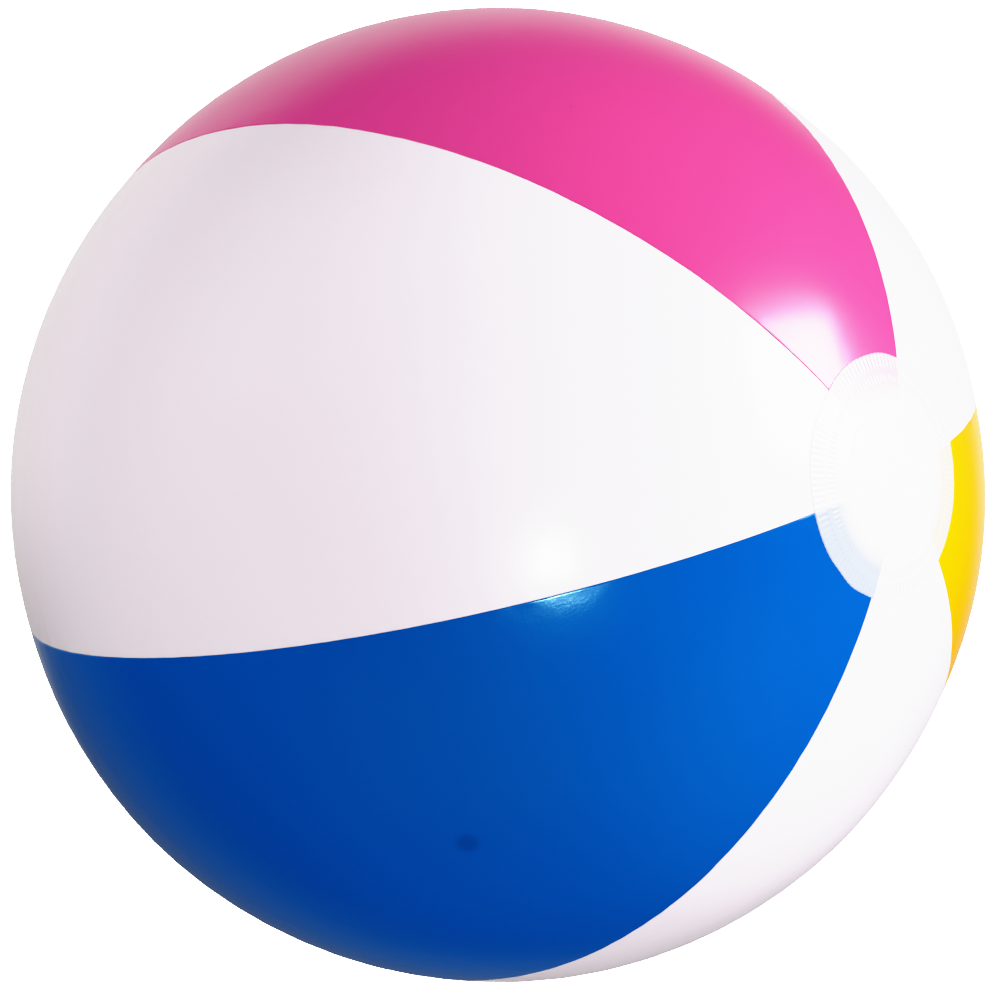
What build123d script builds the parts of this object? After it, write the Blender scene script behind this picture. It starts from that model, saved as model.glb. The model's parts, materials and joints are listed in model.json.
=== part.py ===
from build123d import *
from math import cos, radians, sin
import os

# Inflatable beach ball: six film gores, an end cap over each pole, and a recessed valve
# with a check flap and a tethered plug. Millimetres, +Z up, origin at the ball's centre.
# The poles are on the X axis, and the front cap is at +X. Angles about X run from -Y
# towards -Z, and colatitudes are measured from the nearer pole. In the valve, a reach is
# a distance from the valve's axis, and a depth is measured inwards from the film's outside.

# Ball
ball_radius = 200.0
film_thickness = 0.25
gore_angle = 60.0
first_seam_angle = 19.0
gore_tip_colatitude = 7.5
cap_edge_colatitude = 12.8
fin_depth = 2.5

# Valve body, in a white gore beside the rear cap
valve_colatitude = 30.0
film_hole_radius = 10.3
flange_bore_radius = 10.0
flange_radius = 17.0
flange_thickness = 0.6
skirt_thickness = 0.5
skirt_bottom_depth = 12.5
skirt_bend_radius = 3.0
skirt_foot_reach = 6.2

# Stem
stem_radius = 5.8
stem_top_depth = 1.75
stem_top_fillet = 0.4
foot_flange_radius = 7.2
foot_flange_thickness = 0.8
plug_seat_radius = 3.9
plug_seat_length = 7.4
plug_seat_chamfer = 0.3
nozzle_bore_radius = 3.2

# Plug
head_radius = 6.6
head_thickness = 1.4
head_fillet = 0.5
stub_radius = 3.85
stub_length = 7.2
stub_chamfer = 0.6
tab_width = 3.2
tab_reach = 8.4
tab_thickness = 1.0

# Tether: a flat strap in the space around the stem, waved from its lug on the stem to the plug's
strap_width = 3.0
strap_thickness = 0.7
stem_lug_reach = 6.1
plug_lug_reach = 7.5
strap_root_depth = 9.6
strap_near_reach = 7.0
strap_near_depth = 6.2
strap_far_reach = 8.4
strap_far_depth = 3.6
strap_bend_radius = 0.45

# Check flap
flap_radius = 4.6
flap_thickness = 0.5
flap_hinge_reach = 5.4
hinge_width = 3.0
hinge_lug_length = 1.0
hinge_gap = 0.1

seat_gap = 0.05

# Worked out from the values above
film_inner_radius = ball_radius - film_thickness
flange_outer_radius = ball_radius + flange_thickness
fin_inner_radius = film_inner_radius - fin_depth
fin_outer_radius = film_inner_radius + film_thickness / 2
skirt_top_depth = ball_radius - (flange_outer_radius**2 - flange_bore_radius**2) ** 0.5
foot_flange_depth = skirt_bottom_depth + seat_gap
stem_bottom_depth = foot_flange_depth + foot_flange_thickness
plug_seat_depth = stem_top_depth + plug_seat_length
head_bottom_depth = stem_top_depth - seat_gap
plug_lug_depth = head_bottom_depth - strap_thickness / 2
flap_top_depth = stem_bottom_depth + seat_gap
hinge_depth = flap_top_depth + flap_thickness / 2
hinge_bead_radius = flap_thickness / 2
hinge_lug_height = flap_thickness + seat_gap

gores = {
    "panel_white_front": first_seam_angle - gore_angle,
    "panel_blue": first_seam_angle,
    "panel_white_lower": first_seam_angle + gore_angle,
    "panel_yellow": first_seam_angle + 2 * gore_angle,
    "panel_white_upper": first_seam_angle + 3 * gore_angle,
    "panel_pink": first_seam_angle + 4 * gore_angle,
}
valve_gore = "panel_white_front"


def direction_about_x(angle):
    """The unit vector square to X at an angle from -Y towards -Z."""
    return Vector(0, -cos(radians(angle)), -sin(radians(angle)))


def seam_plane(angle):
    """The plane through both poles at an angle about X: local X along +X, local Y outwards."""
    outwards = direction_about_x(angle)
    return Plane(origin=(0, 0, 0), x_dir=(1, 0, 0), z_dir=Vector(1, 0, 0).cross(outwards))


def meridian_band(plane, inner, outer, start, stop):
    """The sketch between two radii about the ball's centre, from one angle off +X to another."""
    with BuildSketch(plane) as band:
        with BuildLine():
            outside = CenterArc((0, 0), outer, start, stop - start)
            inside = CenterArc((0, 0), inner, start, stop - start)
            Line(outside @ 0, inside @ 0)
            Line(outside @ 1, inside @ 1)
        make_face()
    return band.sketch


valve_gore_middle = direction_about_x(gores[valve_gore] + gore_angle / 2)
valve_tilt = radians(valve_colatitude)
valve_outwards = Vector(-1, 0, 0) * cos(valve_tilt) + valve_gore_middle * sin(valve_tilt)
valve_equatorward = Vector(1, 0, 0) * sin(valve_tilt) + valve_gore_middle * cos(valve_tilt)
valve_origin = valve_outwards * ball_radius
valve_axis = Axis(valve_origin, valve_outwards)
# Across the valve: local X towards the equator, local Z outwards
valve_plane = Plane(valve_origin, x_dir=valve_equatorward, z_dir=valve_outwards)
# Along the valve: local X is the reach towards the equator, local Y is minus the depth
valve_section = Plane(
    valve_origin, x_dir=valve_equatorward, z_dir=valve_equatorward.cross(valve_outwards)
)
ball_centre_in_section = (0, -ball_radius)

os.makedirs("parts", exist_ok=True)

# Six gores of film, each with its two weld fins turned inwards
gore_tips = (gore_tip_colatitude, 180 - gore_tip_colatitude)
for gore_name, gore_start in gores.items():
    first_seam = seam_plane(gore_start)
    second_seam = seam_plane(gore_start + gore_angle)
    with BuildPart() as gore:
        revolve(
            profiles=meridian_band(first_seam, film_inner_radius, ball_radius, *gore_tips),
            axis=Axis.X,
            revolution_arc=gore_angle,
        )
        for seam, side in ((first_seam, 1), (second_seam, -1)):
            extrude(
                meridian_band(seam, fin_inner_radius, fin_outer_radius, *gore_tips),
                amount=film_thickness * side,
            )
        if gore_name == valve_gore:
            with BuildSketch(valve_plane):
                Circle(film_hole_radius)
            extrude(amount=fin_depth, both=True, mode=Mode.SUBTRACT)
    gore.part.label = gore_name
    export_step(gore.part, f"parts/{gore_name}.step")

# The two end caps, welded over the gore tips
for cap_name, pole_angle in (("end_cap_front", 0), ("end_cap_rear", 180)):
    cap_edge_angle = abs(pole_angle - cap_edge_colatitude)
    span = sorted((pole_angle, cap_edge_angle))
    with BuildPart() as cap:
        revolve(
            profiles=meridian_band(
                Plane.XY, ball_radius, ball_radius + film_thickness, *span
            ),
            axis=Axis.X,
        )
    cap.part.label = cap_name
    export_step(cap.part, f"parts/{cap_name}.step")

# The flange, welded onto the film around the hole
with BuildPart() as valve_flange:
    with BuildSketch(valve_section):
        with Locations(ball_centre_in_section):
            Circle(flange_outer_radius)
            Circle(ball_radius, mode=Mode.SUBTRACT)
        flange_width = flange_radius - flange_bore_radius
        with Locations((flange_bore_radius + flange_width / 2, 0)):
            Rectangle(flange_width, flange_radius, mode=Mode.INTERSECT)
    revolve(axis=valve_axis)
valve_flange.part.label = "valve_flange"
export_step(valve_flange.part, "parts/valve_flange.step")

# The flexible skirt from the flange's bore down to the stem's foot
with BuildPart() as valve_bellows:
    with BuildSketch(valve_section):
        bend_centre = (
            flange_bore_radius - skirt_bend_radius,
            skirt_bend_radius - skirt_bottom_depth,
        )
        with BuildLine():
            outer_bend = CenterArc(bend_centre, skirt_bend_radius, 0, -90)
            inner_bend = CenterArc(bend_centre, skirt_bend_radius - skirt_thickness, 0, -90)
            outer_wall = Line((flange_bore_radius, -skirt_top_depth), outer_bend @ 0)
            inner_wall = Line(
                (flange_bore_radius - skirt_thickness, -skirt_top_depth), inner_bend @ 0
            )
            Line(outer_wall @ 0, inner_wall @ 0)
            outer_foot = Line(outer_bend @ 1, (skirt_foot_reach, -skirt_bottom_depth))
            inner_foot = Line(
                inner_bend @ 1, (skirt_foot_reach, skirt_thickness - skirt_bottom_depth)
            )
            Line(outer_foot @ 1, inner_foot @ 1)
        make_face()
    revolve(axis=valve_axis)
valve_bellows.part.label = "valve_bellows"
export_step(valve_bellows.part, "parts/valve_bellows.step")

# The stem: a tube on a foot flange, bored for the plug above and the pump's nozzle below
with BuildPart() as valve_stem:
    with BuildSketch(valve_plane.offset(-stem_bottom_depth)):
        Circle(foot_flange_radius)
    extrude(amount=foot_flange_thickness)
    with BuildSketch(valve_plane.offset(-foot_flange_depth)):
        Circle(stem_radius)
    extrude(amount=foot_flange_depth - stem_top_depth)
    fillet(valve_stem.edges().group_by(valve_axis)[-1], stem_top_fillet)
    with BuildSketch(valve_section):
        strap_lug_length = stem_lug_reach - plug_seat_radius
        with Locations((strap_lug_length / 2 - stem_lug_reach, -strap_root_depth)):
            Rectangle(strap_lug_length, strap_thickness)
    extrude(amount=strap_width / 2, both=True)
    with BuildSketch(valve_section):
        hinge_lug_reach = flap_hinge_reach + hinge_bead_radius + hinge_gap
        hinge_lug_middle = (
            hinge_lug_reach + hinge_lug_length / 2,
            -stem_bottom_depth - hinge_lug_height / 2,
        )
        with Locations(hinge_lug_middle):
            Rectangle(hinge_lug_length, hinge_lug_height)
    extrude(amount=hinge_width / 2, both=True)
    with BuildSketch(valve_plane.offset(-plug_seat_depth)):
        Circle(plug_seat_radius)
    extrude(amount=plug_seat_length, mode=Mode.SUBTRACT)
    seat_mouth = valve_stem.edges().filter_by(GeomType.CIRCLE).group_by(valve_axis)[-1]
    chamfer(seat_mouth.sort_by(SortBy.RADIUS)[0], plug_seat_chamfer)
    with BuildSketch(valve_plane.offset(-stem_bottom_depth)):
        Circle(nozzle_bore_radius)
    extrude(amount=stem_bottom_depth - plug_seat_depth, mode=Mode.SUBTRACT)
valve_stem.part.label = "valve_stem"
export_step(valve_stem.part, "parts/valve_stem.step")

# The plug: a stub in the stem's seat under a round head with a finger tab and the tether's lug
with BuildPart() as valve_plug:
    with BuildSketch(valve_plane.offset(-head_bottom_depth)):
        Circle(head_radius)
    extrude(amount=head_thickness)
    fillet(valve_plug.edges().group_by(valve_axis)[-1], head_fillet)
    with BuildSketch(valve_plane.offset(-head_bottom_depth)):
        tab_length = tab_reach - tab_width / 2
        with Locations((tab_length / 2, 0)):
            Rectangle(tab_length, tab_width)
        with Locations((tab_length, 0)):
            Circle(tab_width / 2)
    extrude(amount=tab_thickness)
    with BuildSketch(valve_plane.offset(-head_bottom_depth)):
        with Locations((-plug_lug_reach / 2, 0)):
            Rectangle(plug_lug_reach, strap_width)
    extrude(amount=strap_thickness)
    with BuildSketch(valve_plane.offset(-head_bottom_depth)):
        Circle(stub_radius)
    extrude(amount=-stub_length)
    chamfer(valve_plug.edges().group_by(valve_axis)[0], stub_chamfer)
valve_plug.part.label = "valve_plug"
export_step(valve_plug.part, "parts/valve_plug.step")

# The tether between the two lugs
with BuildPart() as plug_tether:
    with BuildSketch(valve_section):
        with BuildLine():
            FilletPolyline(
                (-stem_lug_reach, -strap_root_depth),
                (-strap_far_reach, -strap_root_depth),
                (-strap_near_reach, -strap_near_depth),
                (-strap_far_reach, -strap_far_depth),
                (-strap_far_reach, -plug_lug_depth),
                (-plug_lug_reach - seat_gap, -plug_lug_depth),
                radius=strap_bend_radius,
            )
        trace(line_width=strap_thickness)
    extrude(amount=strap_width / 2, both=True)
plug_tether.part.label = "plug_tether"
export_step(plug_tether.part, "parts/plug_tether.step")

# The check flap under the stem: a disc on a tongue that ends in a round bead on the hinge's axis
with BuildPart() as check_flap:
    with BuildSketch(valve_plane.offset(-flap_top_depth)):
        Circle(flap_radius)
        with Locations((flap_hinge_reach / 2, 0)):
            Rectangle(flap_hinge_reach, hinge_width)
    extrude(amount=-flap_thickness)
    with BuildSketch(valve_section):
        with Locations((flap_hinge_reach, -hinge_depth)):
            Circle(hinge_bead_radius)
    extrude(amount=hinge_width / 2, both=True)
check_flap.part.label = "check_flap"
export_step(check_flap.part, "parts/check_flap.step")
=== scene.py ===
import json
import math

import bmesh
import bpy
import numpy as np
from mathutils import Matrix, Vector


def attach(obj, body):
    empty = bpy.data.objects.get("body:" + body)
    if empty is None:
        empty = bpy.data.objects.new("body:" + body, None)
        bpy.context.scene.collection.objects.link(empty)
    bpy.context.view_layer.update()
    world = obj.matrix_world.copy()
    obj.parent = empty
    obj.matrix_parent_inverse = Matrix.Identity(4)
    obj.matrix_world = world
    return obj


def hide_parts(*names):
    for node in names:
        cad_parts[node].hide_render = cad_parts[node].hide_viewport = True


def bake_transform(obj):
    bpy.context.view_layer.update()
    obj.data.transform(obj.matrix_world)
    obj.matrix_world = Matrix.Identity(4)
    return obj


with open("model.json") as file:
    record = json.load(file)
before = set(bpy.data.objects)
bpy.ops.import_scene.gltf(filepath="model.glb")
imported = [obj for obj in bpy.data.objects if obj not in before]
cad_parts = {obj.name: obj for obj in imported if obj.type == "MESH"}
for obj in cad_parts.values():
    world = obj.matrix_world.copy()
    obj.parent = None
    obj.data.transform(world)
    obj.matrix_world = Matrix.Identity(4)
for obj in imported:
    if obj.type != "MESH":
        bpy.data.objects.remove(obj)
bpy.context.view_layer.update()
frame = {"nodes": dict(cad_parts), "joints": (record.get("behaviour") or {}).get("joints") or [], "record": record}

# Inflatable beach ball: detailed film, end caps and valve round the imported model.
# Metres, +Z up, origin at the ball's centre, poles on X, front cap at +X. Angles about X run
# from -Y towards -Z. Colatitudes are measured from +X unless they are called polar.

joints = {joint["name"]: joint for joint in frame["joints"]}
mounts = {mount["name"]: mount for mount in frame["record"]["mounts"]}

MM = 0.001
BALL_RADIUS = -mounts["resting_point"]["pos_m"][2]
FIRST_SEAM = math.radians(19.0)
GORE_ANGLE = math.radians(60)
GORE_TIP = math.radians(7.5)
CAP_EDGE = math.radians(12.8)

FILM_THICKNESS = 0.25 * MM
FIN_DEPTH = 2.5 * MM
SEAM_ROUNDING = 0.35 * MM
GORE_CROWN = 0.5 * MM
DENT_HEIGHT = 0.07 * MM
DENT_WAVELENGTH = 70 * MM
PUCKER_HEIGHT = 0.05 * MM
PUCKER_WAVELENGTH = 9 * MM
PUCKER_REACH = 5 * MM
RIPPLE_WAVES = 14
CRISP_EDGE = math.radians(40)
ROUND_POINTS = 96

FLANGE_BORE = 10 * MM
FLANGE_EDGE = 17 * MM
FLANGE_THICKNESS = 0.6 * MM
FILM_HOLE = 10.3 * MM

GORES = {
    "film_white_front": ("panel_white_front", -1),
    "film_blue": ("panel_blue", 0),
    "film_white_lower": ("panel_white_lower", 1),
    "film_yellow": ("panel_yellow", 2),
    "film_white_upper": ("panel_white_upper", 3),
    "film_pink": ("panel_pink", 4),
}
VALVE_GORE = "film_white_front"

# The valve's own directions: outwards along its axis, towards the equator, and across
VALVE_OUT = np.array(joints["stem_pop"]["axis"], float)
VALVE_OUT /= np.linalg.norm(VALVE_OUT)
VALVE_ALONG = np.array([1.0, 0, 0]) - VALVE_OUT[0] * VALVE_OUT
VALVE_ALONG /= np.linalg.norm(VALVE_ALONG)
VALVE_ACROSS = np.cross(VALVE_OUT, VALVE_ALONG)


# ---------------------------------------------------------------- shape helpers


def smoothstep(low, high, value):
    share = np.clip((np.asarray(value, float) - low) / (high - low), 0, 1)
    return share * share * (3 - 2 * share)


def ripple(points, wavelength, seed):
    """A smooth random field of about unit height, made of plane waves near one wavelength."""
    random = np.random.default_rng(seed)
    directions = random.normal(size=(RIPPLE_WAVES, 3))
    directions /= np.linalg.norm(directions, axis=1)[:, None]
    lengths = wavelength * random.uniform(0.7, 1.6, RIPPLE_WAVES)
    phases = random.uniform(0, 2 * math.pi, RIPPLE_WAVES)
    angle = points @ (directions * (2 * math.pi / lengths)[:, None]).T + phases
    return np.cos(angle).sum(-1) / math.sqrt(RIPPLE_WAVES / 2)


def on_ball(colatitude, about_x, radius):
    """Points on a sphere about the ball's centre."""
    off_axis = radius * np.sin(colatitude)
    return np.stack(
        [
            radius * np.cos(colatitude) + 0 * about_x,
            -off_axis * np.cos(about_x),
            -off_axis * np.sin(about_x),
        ],
        axis=-1,
    )


def at_valve(reach, around, depth):
    """Points by distance from the valve's axis, angle round it and depth under the film."""
    out = (BALL_RADIUS - np.asarray(depth, float))[..., None] * VALVE_OUT
    along = (reach * np.cos(around))[..., None] * VALVE_ALONG
    across = (reach * np.sin(around))[..., None] * VALVE_ACROSS
    return out + along + across


def seam_distance(colatitude, about_x):
    """Distance along the film to the nearest seam."""
    turn = np.mod(about_x - FIRST_SEAM, GORE_ANGLE)
    return BALL_RADIUS * np.sin(colatitude) * np.minimum(turn, GORE_ANGLE - turn)


def film_height(colatitude, about_x):
    """How far the film stands off the true sphere: crowned gores, puckered seams and faint dents."""
    points = on_ball(colatitude, about_x, BALL_RADIUS)
    seam = seam_distance(colatitude, about_x)
    half_width = BALL_RADIUS * np.sin(colatitude) * GORE_ANGLE / 2
    crown = GORE_CROWN * (0.5 - (1 - seam / half_width) ** 2)
    pucker = PUCKER_HEIGHT * np.exp(-seam / PUCKER_REACH) * ripple(points, PUCKER_WAVELENGTH, 3)
    dent = DENT_HEIGHT * ripple(points, DENT_WAVELENGTH, 5)
    polar = np.minimum(colatitude, math.pi - colatitude)
    off_valve = np.linalg.norm(np.cross(points, VALVE_OUT), axis=-1)
    off_valve = np.where(points @ VALVE_OUT > 0, off_valve, BALL_RADIUS)
    free = smoothstep(CAP_EDGE, 1.8 * CAP_EDGE, polar)
    free = free * smoothstep(FLANGE_EDGE, 2 * FLANGE_EDGE, off_valve)
    return free * (crown + pucker + dent)


def new_piece(name, points, faces):
    """A smooth-shaded mesh object, with outward faces and edges over 40 degrees left crisp."""
    mesh = bpy.data.meshes.new(name)
    mesh.from_pydata([tuple(point) for point in points], [], faces)
    shaped = bmesh.new()
    shaped.from_mesh(mesh)
    bmesh.ops.recalc_face_normals(shaped, faces=shaped.faces)
    shaped.to_mesh(mesh)
    shaped.free()
    mesh.shade_smooth()
    mesh.set_sharp_from_angle(angle=CRISP_EDGE)
    piece = bpy.data.objects.new(name, mesh)
    bpy.context.collection.objects.link(piece)
    return piece


def stitch_rings(rings, closed):
    """Points and faces of a skin over rings of points. A ring may have a whole number of times its
    neighbour's points, or be a single point. closed joins the last ring to the first."""
    starts = np.cumsum([0] + [len(ring) for ring in rings])
    faces = []
    pairs = list(zip(range(len(rings) - 1), range(1, len(rings))))
    if closed:
        pairs.append((len(rings) - 1, 0))
    for first, second in pairs:
        if len(rings[first]) < len(rings[second]):
            first, second = second, first
        many, few = len(rings[first]), len(rings[second])
        step = many // few
        if few == 1:
            for index in range(many):
                ahead = (index + 1) % many
                faces.append((starts[second], starts[first] + ahead, starts[first] + index))
            continue
        for index in range(few):
            ahead = (index + 1) % few
            side = [starts[first] + (index * step + k) % many for k in range(step + 1)]
            faces.append((starts[second] + ahead, starts[second] + index, *side))
    return np.concatenate(rings), [tuple(int(i) for i in face) for face in faces]


def finish_piece(piece, body, node, material):
    """Colours a piece, makes it ride on a body and stand for its CAD node."""
    piece.data.materials.append(material)
    if body:
        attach(piece, body)
    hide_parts(node)


# ---------------------------------------------------------------- materials


def shader(name):
    """A new material with its node tree and its Principled shader."""
    material = bpy.data.materials.new(name)
    material.use_nodes = True
    nodes = material.node_tree.nodes
    return material, nodes, material.node_tree.links, nodes["Principled BSDF"]


def noise_node(nodes, links, place, scale, detail, seed):
    """Noise texture over object coordinates, moved by a seed so that no two patterns agree."""
    shift = nodes.new("ShaderNodeVectorMath")
    shift.operation = "ADD"
    shift.inputs[1].default_value = (seed * 1.7, seed * 2.3, seed * 3.1)
    links.new(place, shift.inputs[0])
    texture = nodes.new("ShaderNodeTexNoise")
    texture.inputs["Scale"].default_value = scale
    texture.inputs["Detail"].default_value = detail
    links.new(shift.outputs[0], texture.inputs["Vector"])
    return texture.outputs["Fac"]


def map_range(nodes, links, value, low, high, to_low, to_high, smooth=False):
    node = nodes.new("ShaderNodeMapRange")
    node.interpolation_type = "SMOOTHSTEP" if smooth else "LINEAR"
    node.inputs["From Min"].default_value = low
    node.inputs["From Max"].default_value = high
    node.inputs["To Min"].default_value = to_low
    node.inputs["To Max"].default_value = to_high
    links.new(value, node.inputs["Value"])
    return node.outputs["Result"]


def mix_colour(nodes, links, share, first, second):
    """Mixes two colours, each a socket or a fixed colour, by a socket or a fixed share."""
    node = nodes.new("ShaderNodeMix")
    node.data_type = "RGBA"
    for value, socket in ((share, node.inputs[0]), (first, node.inputs[6]), (second, node.inputs[7])):
        if isinstance(value, bpy.types.NodeSocket):
            links.new(value, socket)
        elif isinstance(value, (int, float)):
            socket.default_value = value
        else:
            socket.default_value = (*value, 1)
    return node.outputs[2]


def math_node(nodes, links, operation, first, second=None):
    """One sum on a socket and, where it is given, a second socket or a fixed number."""
    node = nodes.new("ShaderNodeMath")
    node.operation = operation
    links.new(first, node.inputs[0])
    if isinstance(second, bpy.types.NodeSocket):
        links.new(second, node.inputs[1])
    elif second is not None:
        node.inputs[1].default_value = second
    return node.outputs[0]


def mix_number(nodes, links, share, first, second):
    """Mixes two numbers, each a socket or a fixed number, by a socket."""
    node = nodes.new("ShaderNodeMix")
    links.new(share, node.inputs[0])
    for value, socket in ((first, node.inputs[2]), (second, node.inputs[3])):
        if isinstance(value, bpy.types.NodeSocket):
            links.new(value, socket)
        else:
            socket.default_value = value
    return node.outputs[0]


def add_bumps(nodes, links, layers):
    """Chains bump nodes, each a (height socket, distance in metres) pair, and gives the last normal."""
    normal = None
    for height, distance in layers:
        bump = nodes.new("ShaderNodeBump")
        bump.inputs["Distance"].default_value = distance
        links.new(height, bump.inputs["Height"])
        if normal is not None:
            links.new(normal, bump.inputs["Normal"])
        normal = bump.outputs["Normal"]
    return normal


FILM_IOR = 1.54
GRAIN_SCALE = 1100
WAVE_SCALE = 60
WAVE_HEIGHT = 0.12 * MM
CLOUD_SCALE = 9
SMEAR_SCALE = 22
DUST_SCALE = 34
DUST_SIZE = (0.008, 0.016)
DUST_SHARE = 0.55
DUST_COLOUR = (0.10, 0.08, 0.06)
# Colour of a painted dark reflection mixed into the film's pigment
PAINTED_REFLECTION_COLOUR = (0.01, 0.03, 0.07)
FILM_ROUGHNESS = (0.19, 0.27)
FINE_GRAIN = 0.012 * MM
# Centre, size and share of the painted dark reflection, which lies on the blue gore
PAINTED_REFLECTION_PLACE = on_ball(math.radians(60), math.radians(48), BALL_RADIUS)
PAINTED_REFLECTION_SIZE = (2 * MM, 6 * MM)
PAINTED_REFLECTION_SHARE = 0.25


def film_material(name, colour, deep_colour, seed, roughness=FILM_ROUGHNESS, grain_height=FINE_GRAIN):
    """Glossy vinyl film: even pigment with faint clouds, a fine calendered grain, smears, dust and
    one dark patch of painted reflection."""
    material, nodes, links, principled = shader(name)
    place = nodes.new("ShaderNodeTexCoord").outputs["Object"]
    clouds = noise_node(nodes, links, place, CLOUD_SCALE, 1, seed)
    pigment = mix_colour(nodes, links, clouds, colour, deep_colour)
    dust = nodes.new("ShaderNodeTexVoronoi")
    dust.inputs["Scale"].default_value = DUST_SCALE
    links.new(place, dust.inputs["Vector"])
    speck = map_range(nodes, links, dust.outputs["Distance"], *DUST_SIZE, DUST_SHARE, 0)
    pigment = mix_colour(nodes, links, speck, pigment, DUST_COLOUR)
    # Painted reflection: a dark patch mixed into the pigment round one point, in place of a dim reflection
    off_reflection = nodes.new("ShaderNodeVectorMath")
    off_reflection.operation = "DISTANCE"
    off_reflection.inputs[1].default_value = PAINTED_REFLECTION_PLACE
    links.new(place, off_reflection.inputs[0])
    from_reflection = off_reflection.outputs["Value"]
    painted_reflection = map_range(nodes, links, from_reflection, *PAINTED_REFLECTION_SIZE, PAINTED_REFLECTION_SHARE, 0, smooth=True)
    pigment = mix_colour(nodes, links, painted_reflection, pigment, PAINTED_REFLECTION_COLOUR)
    links.new(pigment, principled.inputs["Base Color"])
    smears = noise_node(nodes, links, place, SMEAR_SCALE, 2, seed + 1)
    links.new(map_range(nodes, links, smears, 0, 1, *roughness), principled.inputs["Roughness"])
    grain = noise_node(nodes, links, place, GRAIN_SCALE, 2, seed + 2)
    wave = noise_node(nodes, links, place, WAVE_SCALE, 2, seed + 3)
    normal = add_bumps(nodes, links, [(grain, grain_height), (wave, WAVE_HEIGHT)])
    links.new(normal, principled.inputs["Normal"])
    principled.inputs["IOR"].default_value = FILM_IOR
    return material


def tint_gloss(material, strength, colour):
    """Strengthens and colours what a film mirrors face on."""
    principled = material.node_tree.nodes["Principled BSDF"]
    principled.inputs["Specular IOR Level"].default_value = strength
    principled.inputs["Specular Tint"].default_value = (*colour, 1)


WHITE = (0.82, 0.755, 0.825)
BLUE = (0.0, 0.112, 0.44)
PINK = (0.655, 0.082, 0.285)
YELLOW = (0.93, 0.445, 0.0)

white_film = film_material("white_film", WHITE, (0.805, 0.74, 0.815), 1)
blue_film = film_material("blue_film", BLUE, (0.0, 0.107, 0.425), 2, (0.14, 0.21), 0.03 * MM)
pink_film = film_material("pink_film", PINK, (0.635, 0.077, 0.275), 3)
yellow_film = film_material("yellow_film", YELLOW, (0.91, 0.41, 0.0), 4, (0.12, 0.18))
tint_gloss(blue_film, 0.9, (0.4, 0.95, 1.0))
tint_gloss(yellow_film, 0.5, (1.0, 0.9, 0.4))
GORE_FILMS = {
    "panel_white_front": (white_film, "white_film"),
    "panel_blue": (blue_film, "blue_film"),
    "panel_white_lower": (white_film, "white_film"),
    "panel_yellow": (yellow_film, "yellow_film"),
    "panel_white_upper": (white_film, "white_film"),
    "panel_pink": (pink_film, "pink_film"),
}


# Ribs round a cap, as counted on the outer row of the one that is seen
RIBS = 122
RIB_BANDS = ((0.3 * MM, 5.6 * MM), (7.8 * MM, 11.1 * MM))
TINT_SHARE = 0.46
TINT_FADE = 0.5
# Painted shade: a dark colour laid in dashes over the ribbed weld bands, in place of the ribs' own shading
RIB_SHADE_COLOUR = (0.46, 0.49, 0.60)
RIB_SHADE_SHARE = 0.6
WELD_SOFTNESS = 0.4 * MM
CAP_ROUGHNESS = (0.16, 0.28)
CAP_CLOUD_SCALE = 40
CAP_SMEAR_SCALE = 45


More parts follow.
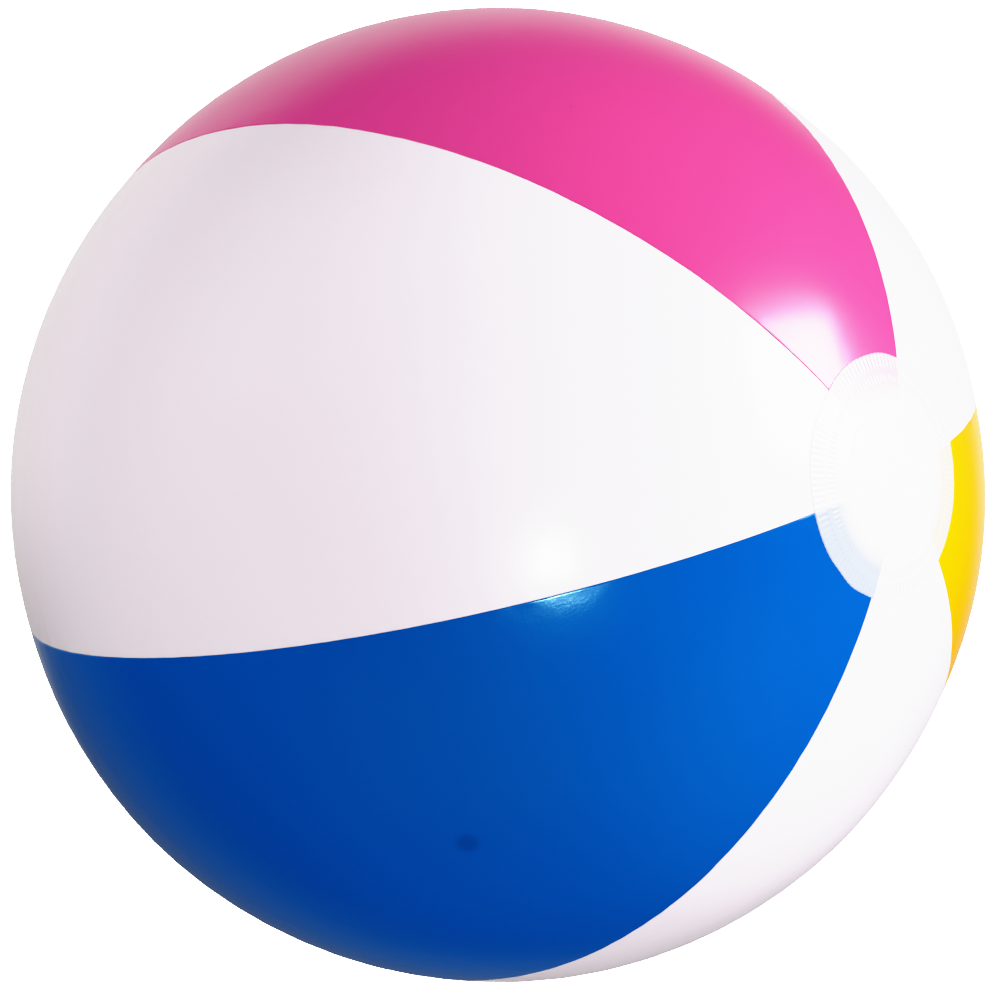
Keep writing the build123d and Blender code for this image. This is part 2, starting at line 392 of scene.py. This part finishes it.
def cap_material():
    """Thin white film that lets the colours of the gore tips under it show faintly, with painted shade in dashes
    over the ribbed weld bands.
    """
    material, nodes, links, principled = shader("cap_film")
    place = nodes.new("ShaderNodeTexCoord").outputs["Object"]
    axes = nodes.new("ShaderNodeSeparateXYZ")
    links.new(place, axes.inputs[0])
    flipped = [math_node(nodes, links, "MULTIPLY", axes.outputs[axis], -1) for axis in ("Z", "Y")]
    about_x = math_node(nodes, links, "ARCTAN2", *flipped)
    from_seam = math_node(nodes, links, "MULTIPLY", about_x, 1 / (2 * math.pi))
    from_seam = math_node(nodes, links, "ADD", from_seam, 1 - FIRST_SEAM / (2 * math.pi))
    wrapped = math_node(nodes, links, "FRACT", from_seam)
    under = nodes.new("ShaderNodeValToRGB")
    under.color_ramp.interpolation = "CONSTANT"
    colours = (BLUE, WHITE, YELLOW, WHITE, PINK, WHITE)
    stops = under.color_ramp.elements
    stops[1].position = 1 / len(colours)
    for index in range(2, len(colours)):
        stops.new(index / len(colours))
    for stop, colour in zip(stops, colours):
        stop.color = (*colour, 1)
    links.new(wrapped, under.inputs["Fac"])
    off_axis = nodes.new("ShaderNodeVectorMath")
    off_axis.operation = "LENGTH"
    flat = nodes.new("ShaderNodeVectorMath")
    flat.operation = "MULTIPLY"
    flat.inputs[1].default_value = (0, 1, 1)
    links.new(place, flat.inputs[0])
    links.new(flat.outputs[0], off_axis.inputs[0])
    tip_reach = BALL_RADIUS * math.sin(GORE_TIP)
    edge_reach = BALL_RADIUS * math.sin(CAP_EDGE)
    reach = off_axis.outputs["Value"]
    tint_full = tip_reach + TINT_FADE * (edge_reach - tip_reach)
    show = map_range(nodes, links, reach, tip_reach, tint_full, 0, TINT_SHARE, smooth=True)
    clouds = noise_node(nodes, links, place, CAP_CLOUD_SCALE, 3, 11)
    film = mix_colour(nodes, links, clouds, (0.84, 0.81, 0.86), (0.81, 0.78, 0.84))
    tinted = mix_colour(nodes, links, show, film, under.outputs["Color"])
    # Painted shade: dark dashes, one per rib, mixed into the colour across the two weld bands
    spokes = math_node(nodes, links, "MULTIPLY", about_x, RIBS)
    spokes = math_node(nodes, links, "COSINE", spokes)
    painted_rib_shade = map_range(nodes, links, spokes, -0.2, 0.6, 0, RIB_SHADE_SHARE, smooth=True)
    for start, stop in RIB_BANDS:
        outer = BALL_RADIUS * math.sin(CAP_EDGE - start / BALL_RADIUS)
        inner = BALL_RADIUS * math.sin(CAP_EDGE - stop / BALL_RADIUS)
        inside = map_range(nodes, links, reach, inner - WELD_SOFTNESS, inner + WELD_SOFTNESS, 0, 1)
        outside = map_range(nodes, links, reach, outer - WELD_SOFTNESS, outer + WELD_SOFTNESS, 1, 0)
        band = math_node(nodes, links, "MULTIPLY", inside, outside)
        band = math_node(nodes, links, "MULTIPLY", band, painted_rib_shade)
        tinted = mix_colour(nodes, links, band, tinted, RIB_SHADE_COLOUR)
    links.new(tinted, principled.inputs["Base Color"])
    smears = noise_node(nodes, links, place, CAP_SMEAR_SCALE, 3, 12)
    links.new(map_range(nodes, links, smears, 0, 1, *CAP_ROUGHNESS), principled.inputs["Roughness"])
    grain = noise_node(nodes, links, place, GRAIN_SCALE, 2, 13)
    links.new(add_bumps(nodes, links, [(grain, FINE_GRAIN)]), principled.inputs["Normal"])
    principled.inputs["IOR"].default_value = FILM_IOR
    return material


def vinyl_material(name, colour, shade, roughness, seed):
    """Moulded soft vinyl for the valve: slightly milky, with flow marks and a satin skin."""
    material, nodes, links, principled = shader(name)
    place = nodes.new("ShaderNodeTexCoord").outputs["Object"]
    flow = noise_node(nodes, links, place, 180, 3, seed)
    links.new(mix_colour(nodes, links, flow, colour, shade), principled.inputs["Base Color"])
    skin = noise_node(nodes, links, place, 420, 3, seed + 1)
    links.new(map_range(nodes, links, skin, 0, 1, *roughness), principled.inputs["Roughness"])
    pits = noise_node(nodes, links, place, 2500, 2, seed + 2)
    normal = add_bumps(nodes, links, [(skin, 0.04 * MM), (pits, 0.01 * MM)])
    links.new(normal, principled.inputs["Normal"])
    principled.inputs["Subsurface Weight"].default_value = 0.25
    principled.inputs["Subsurface Radius"].default_value = (1.0, 0.9, 0.8)
    principled.inputs["Subsurface Scale"].default_value = 1.5 * MM
    principled.inputs["IOR"].default_value = 1.53
    return material


cap_film = cap_material()
valve_vinyl = vinyl_material("valve_vinyl", (0.80, 0.83, 0.86), (0.74, 0.78, 0.82), (0.25, 0.42), 21)
flap_vinyl = vinyl_material("flap_vinyl", (0.70, 0.74, 0.78), (0.64, 0.68, 0.73), (0.4, 0.55), 31)


# ---------------------------------------------------------------- film gores


GORE_ROWS = 300
HOLE_CUT_REACH = 6 * MM


def gore_section(colatitude, first_angle):
    """One closed cross-section of a gore: up a fin, over the film, down the other fin and back."""
    off_axis = BALL_RADIUS * math.sin(colatitude)
    half_width = off_axis * GORE_ANGLE / 2
    near_seam = np.array([0.8, 1.5, 2.6, 4.2, 6.5, 9.5]) * MM
    to_middle = np.linspace(near_seam[-1], half_width, 9)[1:]
    bend = np.radians([0, 22.5, 45, 67.5, 90])
    distance = np.concatenate(
        [
            np.zeros(2),
            SEAM_ROUNDING * (1 - np.cos(bend)),
            near_seam,
            to_middle,
        ]
    )
    drop = np.concatenate(
        [
            [SEAM_ROUNDING + FIN_DEPTH, SEAM_ROUNDING + FIN_DEPTH / 2],
            SEAM_ROUNDING * (1 - np.sin(bend)),
            np.zeros(len(near_seam) + len(to_middle)),
        ]
    )
    inset = np.where(drop > 0, FILM_THICKNESS, 0)
    distance = np.concatenate([distance, 2 * half_width - distance[-2::-1]])
    side = np.concatenate([np.ones(len(drop)), -np.ones(len(drop) - 1)])
    drop = np.concatenate([drop, drop[-2::-1]])
    inset = np.concatenate([inset, inset[-2::-1]])
    outer_angle = first_angle + distance / off_axis
    inner_angle = first_angle + (distance + side * inset) / off_axis
    column = np.full(len(distance), colatitude)
    height = film_height(column, first_angle + np.clip(distance, 0, 2 * half_width) / off_axis)
    outer = on_ball(column, outer_angle, BALL_RADIUS + height - drop)
    inner_drop = np.where(drop > SEAM_ROUNDING, drop, np.maximum(drop, FILM_THICKNESS))
    inner = on_ball(column, inner_angle, BALL_RADIUS + height - inner_drop)
    return np.concatenate([outer, inner[::-1]])


def make_gore(name, node, index):
    first_angle = FIRST_SEAM + index * GORE_ANGLE
    colatitudes = np.linspace(GORE_TIP, math.pi - GORE_TIP, GORE_ROWS)
    sections = [gore_section(colatitude, first_angle) for colatitude in colatitudes]
    loop = len(sections[0])
    faces = []
    for row in range(GORE_ROWS - 1):
        for column in range(loop):
            ahead = (column + 1) % loop
            base = row * loop
            faces.append((base + column, base + ahead, base + loop + ahead, base + loop + column))
    for base in (0, (GORE_ROWS - 1) * loop):
        for column in range(loop // 2 - 1):
            faces.append(
                (base + column, base + column + 1, base + loop - 2 - column, base + loop - 1 - column)
            )
    gore = new_piece(name, np.concatenate(sections), faces)
    if name == VALVE_GORE:
        cut_valve_hole(gore)
    material, slot = GORE_FILMS[node]
    finish_piece(gore, "shell", node, material)


def cut_valve_hole(gore):
    """Cuts the round hole that the valve's cup hangs in."""
    around = np.linspace(0, 2 * math.pi, ROUND_POINTS, endpoint=False)
    ends = (HOLE_CUT_REACH, -HOLE_CUT_REACH)
    rings = [at_valve(FILM_HOLE + 0 * around, around, depth + 0 * around) for depth in ends]
    centres = [at_valve(np.zeros(1), np.zeros(1), np.array([depth])) for depth in ends]
    points, faces = stitch_rings([centres[0], *rings, centres[1]], closed=False)
    cutter = new_piece("hole_cutter", points, faces)
    cut = gore.modifiers.new("hole", "BOOLEAN")
    cut.operation = "DIFFERENCE"
    cut.solver = "EXACT"
    cut.object = cutter
    bpy.context.view_layer.update()
    graph = bpy.context.evaluated_depsgraph_get()
    holed = bpy.data.meshes.new_from_object(gore.evaluated_get(graph))
    gore.modifiers.clear()
    gore.data = holed
    bpy.data.objects.remove(cutter)


for gore_name, (gore_node, gore_index) in GORES.items():
    make_gore(gore_name, gore_node, gore_index)


# ---------------------------------------------------------------- end caps

POINTS_PER_RIB = 6
RIB_HEIGHT = 0.13 * MM
WELD_SINK = 0.10 * MM
TIP_STEP_FROM = BALL_RADIUS * (CAP_EDGE - GORE_TIP)
TIP_STEP_TO = TIP_STEP_FROM + 1.0 * MM


def weld_relief(inward, around, seam):
    """Height of a cap's top over plain film: sunk ribbed welds, seam ridges and the tips' step."""
    weld = sum(
        smoothstep(start, start + 0.5 * MM, inward) - smoothstep(stop - 0.5 * MM, stop, inward)
        for start, stop in RIB_BANDS
    )
    rib = 0.5 + 0.5 * np.cos(RIBS * around)
    ridge = np.exp(-(((np.abs(seam) - 0.55 * MM) / (0.28 * MM)) ** 2))
    covered = 1 - smoothstep(TIP_STEP_FROM, TIP_STEP_TO, inward)
    return (
        weld * (RIB_HEIGHT * rib - WELD_SINK)
        + 0.07 * MM * ridge * covered
        - 0.15 * MM * (1 - covered)
    )


def make_cap(name, node, pole):
    """An end cap over one pole: pole is 0 for +X and pi for -X."""
    columns = RIBS * POINTS_PER_RIB
    many = 2 * math.pi * np.arange(columns) / columns
    few = 2 * math.pi * np.arange(RIBS) / RIBS

    def ring(around, inward, height, relief):
        serration = 0.05 * MM * np.cos(RIBS * around) + 0.12 * MM * ripple(
            on_ball(CAP_EDGE + 0 * around, around, BALL_RADIUS), 16 * MM, 7
        )
        polar = CAP_EDGE - (inward - serration * (inward < 1 * MM)) / BALL_RADIUS
        colatitude = abs(pole - polar)
        top = height + 0 * around
        if relief:
            top = top + weld_relief(inward + 0 * around, around, seam_distance(colatitude, around))
        return on_ball(colatitude, around, BALL_RADIUS + top)

    inward_fine = np.array(
        [0.3, 0.6, 1.0, 1.8, 2.8, 3.8, 4.7, 5.1, 5.4, 5.7, 6.4, 7.2, 7.7, 8.0, 8.4, 9.0, 9.8, 10.5, 10.8,
         11.2, 11.8, 13, 14.5, 16, 17.2, 18, 18.5, 18.8, 19.1, 19.5, 20, 21]
    ) * MM
    inward_coarse = np.array([22.5, 25, 28, 31, 34, 37, 40, 42.5]) * MM
    rings = [ring(many, 0, 0.01 * MM, False), ring(many, 0, 0.10 * MM, False)]
    rings += [ring(many, 0.12 * MM, 0.15 * MM, False)]
    rings += [ring(many, inward, FILM_THICKNESS, True) for inward in inward_fine]
    rings += [ring(few, inward, FILM_THICKNESS, True) for inward in inward_coarse]
    rings += [on_ball(np.array([float(pole)]), np.zeros(1), BALL_RADIUS + 0.1 * MM)]
    rings += [on_ball(np.array([float(pole)]), np.zeros(1), BALL_RADIUS - 0.15 * MM)]
    rings += [ring(few, inward, -0.15 * MM, False) for inward in inward_coarse[::-1]]
    rings += [ring(few, inward * MM, 0.01 * MM, False) for inward in (20, 14, 6, 2)]
    points, faces = stitch_rings_split(rings)
    cap = new_piece(name, points, faces)
    finish_piece(cap, "shell", node, cap_film)


def stitch_rings_split(rings):
    """Like stitch_rings, for a sheet whose top and bottom each end in a single point at the middle."""
    middle = next(index for index, ring in enumerate(rings) if len(ring) == 1)
    points, faces = stitch_rings(rings[: middle + 1], closed=False)
    below, below_faces = stitch_rings([*rings[middle + 1 :], rings[0]], closed=False)
    below_count = len(below) - len(rings[0])
    offset = len(points)

    def place(index):
        return index + offset if index < below_count else index - below_count

    faces += [tuple(place(index) for index in face) for face in below_faces]
    return np.concatenate([points, below[:below_count]]), faces


make_cap("cap_front", "end_cap_front", 0)
make_cap("cap_rear", "end_cap_rear", math.pi)


# ---------------------------------------------------------------- valve

FLANGE_RIBS = 60


def make_flange():
    """The welded flange: a ribbed ring with a soft edge and a smooth inner lip."""
    columns = FLANGE_RIBS * POINTS_PER_RIB
    around = 2 * math.pi * np.arange(columns) / columns

    def ring(reach, height):
        inside = smoothstep(11.3 * MM, 11.8 * MM, reach) - smoothstep(15.6 * MM, 16.1 * MM, reach)
        rib = 0.5 + 0.5 * np.cos(FLANGE_RIBS * around)
        relief = inside * (0.2 * MM * rib - 0.22 * MM) if height > 0.3 * MM else 0
        radius = BALL_RADIUS + height + relief
        depth = BALL_RADIUS - np.sqrt(radius**2 - reach**2 + 0 * around)
        return at_valve(reach + 0 * around, around, depth)

    top = [10.2, 10.6, 11.2, 11.5, 11.8, 12.6, 13.4, 14.2, 15.0, 15.6, 15.9, 16.2, 16.6]
    rings = [ring(FLANGE_BORE, 0.02 * MM), ring(FLANGE_BORE, 0.45 * MM)]
    rings += [ring(reach * MM, FLANGE_THICKNESS) for reach in top]
    rings += [ring(16.9 * MM, 0.45 * MM), ring(FLANGE_EDGE, 0.2 * MM), ring(FLANGE_EDGE, 0.02 * MM)]
    points, faces = stitch_rings(rings, closed=True)
    flange = new_piece("flange", points, faces)
    finish_piece(flange, "shell", "valve_flange", valve_vinyl)


def revolve_outline(name, outline):
    """A closed outline of (reach, depth) points in millimetres, turned about the valve's axis."""
    around = 2 * math.pi * np.arange(ROUND_POINTS) / ROUND_POINTS
    rings = []
    for reach, depth in outline:
        rings.append(at_valve(reach * MM + 0 * around, around, depth * MM + 0 * around))
    points, faces = stitch_rings(rings, closed=True)
    return new_piece(name, points, faces)


def make_skirt():
    """The flexible cup between the flange's bore and the stem's foot, with shallow rolled folds."""
    bore = FLANGE_BORE / MM
    foot_depth = 12.5
    bend_radius = 3.0
    wall = 0.5
    depths = np.linspace(-0.3, foot_depth - bend_radius, 22)
    fold = 0.16 * (1 - np.cos(2 * math.pi * (depths + 0.3) / 2.45)) * smoothstep(-0.3, 1.5, depths)
    outside = [(bore - f, depth) for f, depth in zip(fold, depths)]
    inside = [(bore - wall - f, depth) for f, depth in zip(fold, depths)]
    for turn in np.radians(np.linspace(0, 90, 9)[1:]):
        across, down = math.cos(turn), math.sin(turn)
        centre = (bore - bend_radius, foot_depth - bend_radius)
        outside.append((centre[0] + bend_radius * across, centre[1] + bend_radius * down))
        inside.append(
            (centre[0] + (bend_radius - wall) * across, centre[1] + (bend_radius - wall) * down)
        )
    outside.append((6.2, foot_depth))
    inside.append((6.2, foot_depth - wall))
    skirt = revolve_outline("skirt", outside + inside[::-1])
    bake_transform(skirt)
    finish_piece(skirt, None, "valve_bellows", valve_vinyl)


def make_tether():
    """The waved strap from the stem's lug to the plug's."""
    route = np.array([(5.9, 9.6), (8.4, 9.6), (7.0, 6.2), (8.4, 3.6), (8.4, 1.4), (7.4, 1.4)])
    for _ in range(4):
        cuts = np.stack([0.75 * route[:-1] + 0.25 * route[1:], 0.25 * route[:-1] + 0.75 * route[1:]], 1)
        route = np.concatenate([route[:1], cuts.reshape(-1, 2)[1:-1], route[-1:]])
    heading = np.gradient(route, axis=0)
    heading /= np.linalg.norm(heading, axis=1)[:, None]
    normal = np.stack([heading[:, 1], -heading[:, 0]], 1)
    half_width, half_thickness, round_off = 1.5, 0.35, 0.2
    corner = np.radians([0, 45, 90])
    section = []
    for quarter, (sign_w, sign_t) in enumerate(((1, 1), (-1, 1), (-1, -1), (1, -1))):
        for turn in corner + quarter * math.pi / 2:
            section.append(
                (
                    sign_w * (half_width - round_off) + round_off * math.cos(turn),
                    sign_t * (half_thickness - round_off) + round_off * math.sin(turn),
                )
            )
    rings = []
    for middle, sideways in zip(route, normal):
        ring = []
        for across, up in section:
            reach, depth = middle + sideways * up
            ring.append(
                VALVE_OUT * (BALL_RADIUS - depth * MM)
                - VALVE_ALONG * reach * MM
                + VALVE_ACROSS * across * MM
            )
        rings.append(np.array(ring))
    rings = [rings[0].mean(0)[None], *rings, rings[-1].mean(0)[None]]
    points, faces = stitch_rings(rings, closed=False)
    tether = new_piece("tether", points, faces)
    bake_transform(tether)
    finish_piece(tether, None, "plug_tether", valve_vinyl)


make_flange()
make_skirt()
make_tether()
for kept_node, kept_material in (
    ("valve_stem", valve_vinyl),
    ("valve_plug", valve_vinyl),
    ("check_flap", flap_vinyl),
):
    slots = frame["nodes"][kept_node].material_slots
    for kept_slot in slots:
        kept_slot.material = kept_material


# ---------------------------------------------------------------- stage, lights and camera

VIEW_AZIMUTH = math.radians(44.75)
VIEW_ELEVATION = math.radians(-2.82)
VIEW_DISTANCE = 4.65 * BALL_RADIUS
SENSOR_WIDTH = 36
FOCAL_LENGTH = 79.7
LENS_SHIFT = (0.0021, -0.0048)
VIEW_BACK = Vector(
    (
        math.sin(VIEW_AZIMUTH) * math.cos(VIEW_ELEVATION),
        -math.cos(VIEW_AZIMUTH) * math.cos(VIEW_ELEVATION),
        math.sin(VIEW_ELEVATION),
    )
)
VIEW_RIGHT = Vector((math.cos(VIEW_AZIMUTH), math.sin(VIEW_AZIMUTH), 0))
VIEW_UP = VIEW_BACK.cross(VIEW_RIGHT)


def make_floor():
    """A wide pale floor, which glows a little so that it runs into the white surround."""
    around = 2 * math.pi * np.arange(ROUND_POINTS) / ROUND_POINTS
    level = -BALL_RADIUS
    rings = [np.array([[0, 0, level]])]
    for reach in (0.3, 0.8, 2, 5, 12, 30):
        flat = np.stack([reach * np.cos(around), reach * np.sin(around), level + 0 * around], 1)
        rings.append(flat)
    points, faces = stitch_rings(rings, closed=False)
    floor = new_piece("floor", points, faces)
    material, nodes, links, principled = shader("floor_paper")
    place = nodes.new("ShaderNodeTexCoord").outputs["Object"]
    paper = noise_node(nodes, links, place, 30, 3, 41)
    tone = mix_colour(nodes, links, paper, (0.10, 0.10, 0.10), (0.12, 0.12, 0.12))
    links.new(tone, principled.inputs["Base Color"])
    principled.inputs["Roughness"].default_value = 0.9
    principled.inputs["Specular IOR Level"].default_value = 0
    principled.inputs["Emission Color"].default_value = (1, 1, 1, 1)
    principled.inputs["Emission Strength"].default_value = FLOOR_GLOW
    floor.data.materials.append(material)
    floor.visible_diffuse = False
    floor.visible_glossy = False
    floor.visible_shadow = False


def softbox(name, towards, distance, size, power, colour, reflected):
    """A square area light in a direction given in the camera's right, up and back, facing the ball."""
    light = bpy.data.lights.new(name, "AREA")
    light.shape = "SQUARE"
    light.size = size
    light.energy = power
    light.color = colour
    lamp = bpy.data.objects.new(name, light)
    right, up, back = towards
    direction = (VIEW_RIGHT * right + VIEW_UP * up + VIEW_BACK * back).normalized()
    lamp.location = direction * distance
    lamp.rotation_euler = direction.to_track_quat("Z", "Y").to_euler()
    lamp.visible_glossy = reflected
    bpy.context.collection.objects.link(lamp)


def make_surround():
    """A white room: even light on the ball, a dimmer ceiling and floor mirrored in its gloss, and
    a bright white beyond."""
    world = bpy.data.worlds.new("surround")
    world.use_nodes = True
    nodes = world.node_tree.nodes
    links = world.node_tree.links
    background = nodes["Background"]
    path = nodes.new("ShaderNodeLightPath")
    direction = nodes.new("ShaderNodeTexCoord").outputs["Generated"]
    axes = nodes.new("ShaderNodeSeparateXYZ")
    links.new(direction, axes.inputs[0])
    height = axes.outputs["Z"]
    mirrored = map_range(nodes, links, height, *MIRRORED_HEIGHTS, *MIRRORED_LIGHT, smooth=True)
    towards = nodes.new("ShaderNodeVectorMath")
    towards.operation = "DOT_PRODUCT"
    towards.inputs[1].default_value = BACKDROP_SIDE
    links.new(direction, towards.inputs[0])
    facing = towards.outputs["Value"]
    backdrop = map_range(nodes, links, facing, *BACKDROP_SPREAD, BACKDROP_DIM, 1, smooth=True)
    mirrored = math_node(nodes, links, "MULTIPLY", mirrored, backdrop)
    light = mix_number(nodes, links, path.outputs["Is Glossy Ray"], ROOM_LIGHT, mirrored)
    light = mix_number(nodes, links, path.outputs["Is Camera Ray"], light, BACKDROP_LIGHT)
    links.new(light, background.inputs["Strength"])
    background.inputs["Color"].default_value = (*ROOM_COLOUR, 1)
    bpy.context.scene.world = world


def make_camera():
    camera = bpy.data.cameras.new("camera")
    camera.sensor_width = SENSOR_WIDTH
    camera.lens = FOCAL_LENGTH
    camera.shift_x, camera.shift_y = LENS_SHIFT
    viewer = bpy.data.objects.new("camera", camera)
    viewer.location = VIEW_BACK * VIEW_DISTANCE
    viewer.rotation_euler = VIEW_BACK.to_track_quat("Z", "Y").to_euler()
    bpy.context.collection.objects.link(viewer)
    bpy.context.scene.camera = viewer


TONE_TOE = 0.06
TONE_SHOULDER = 0.83
TONE_WHITE = 6.0
TONE_LEVELS = (
    0, 0.02, 0.04, 0.06, 0.08, 0.1, 0.12, 0.15, 0.2, 0.3, 0.5, 0.7, 0.85, 0.9, 0.95, 1.0, 1.1, 1.2, 1.4,
    1.7, 2.1, 2.6, 3.3, 4.2, 5,
)


def set_tone():
    """A camera's response to light: a short toe, a straight middle and a soft shoulder."""
    view = bpy.context.scene.view_settings
    view.view_transform = "Standard"
    view.use_curve_mapping = True
    mapping = view.curve_mapping
    mapping.white_level = (TONE_WHITE, TONE_WHITE, TONE_WHITE)
    curve = mapping.curves[3]
    room = 1 - TONE_SHOULDER
    for level in TONE_LEVELS:
        tone = level**2 / (4 * TONE_TOE) if level < 2 * TONE_TOE else level - TONE_TOE
        if tone > TONE_SHOULDER:
            tone = 1 - room**2 / (tone + room - TONE_SHOULDER)
        if level:
            curve.points.new(level / TONE_WHITE, tone)
    for point in curve.points:
        point.handle_type = "VECTOR"
    mapping.update()


FLOOR_GLOW = 8.0
ROOM_COLOUR = (1.0, 0.96, 0.92)
ROOM_LIGHT = 0.415
MIRRORED_HEIGHTS = (-0.2, 0.12)
MIRRORED_LIGHT = (0.2, 0.92)
BACKDROP_SIDE = (-0.94 * VIEW_BACK - 0.34 * VIEW_RIGHT).normalized()
BACKDROP_SPREAD = (0.45, 0.8)
BACKDROP_DIM = 0.15
BACKDROP_LIGHT = 8.0

# Each lamp's name, direction, distance, size, power, colour, and whether the gloss mirrors it.
# wall_back is straight behind the ball and narrow, so that none of it falls on the film that the
# camera sees.
PLAIN = (1.0, 1.0, 1.0)
LAMPS = (
    ("key", (0.899, 0.327, 0.29), 1.5, 0.62, 26.8, (0.95, 0.97, 1.0), True),
    ("fill", (0.192, -0.238, 0.952), 1.3, 0.08, 4.0, PLAIN, True),
    ("wall_right", (1, 0, 0.1), 2.0, 1.6, 6.6, (0.92, 0.94, 1.0), False),
    ("wall_left", (-1, 0, 0.1), 2.0, 1.6, 1.5, PLAIN, False),
    ("wall_high", (-0.6, 0.6, 0.4), 2.0, 1.6, 23.5, PLAIN, False),
    ("wall_low", (-0.15, -0.75, 0.55), 2.0, 1.6, 11, PLAIN, False),
    ("wall_low_right", (0.7, -0.6, 0.2), 2.0, 1.6, 19, PLAIN, False),
    ("wall_back", (0, 0, -1), 2.0, 0.85, 24, PLAIN, False),
)

make_floor()
make_surround()
for lamp_row in LAMPS:
    softbox(*lamp_row)
make_camera()
set_tone()
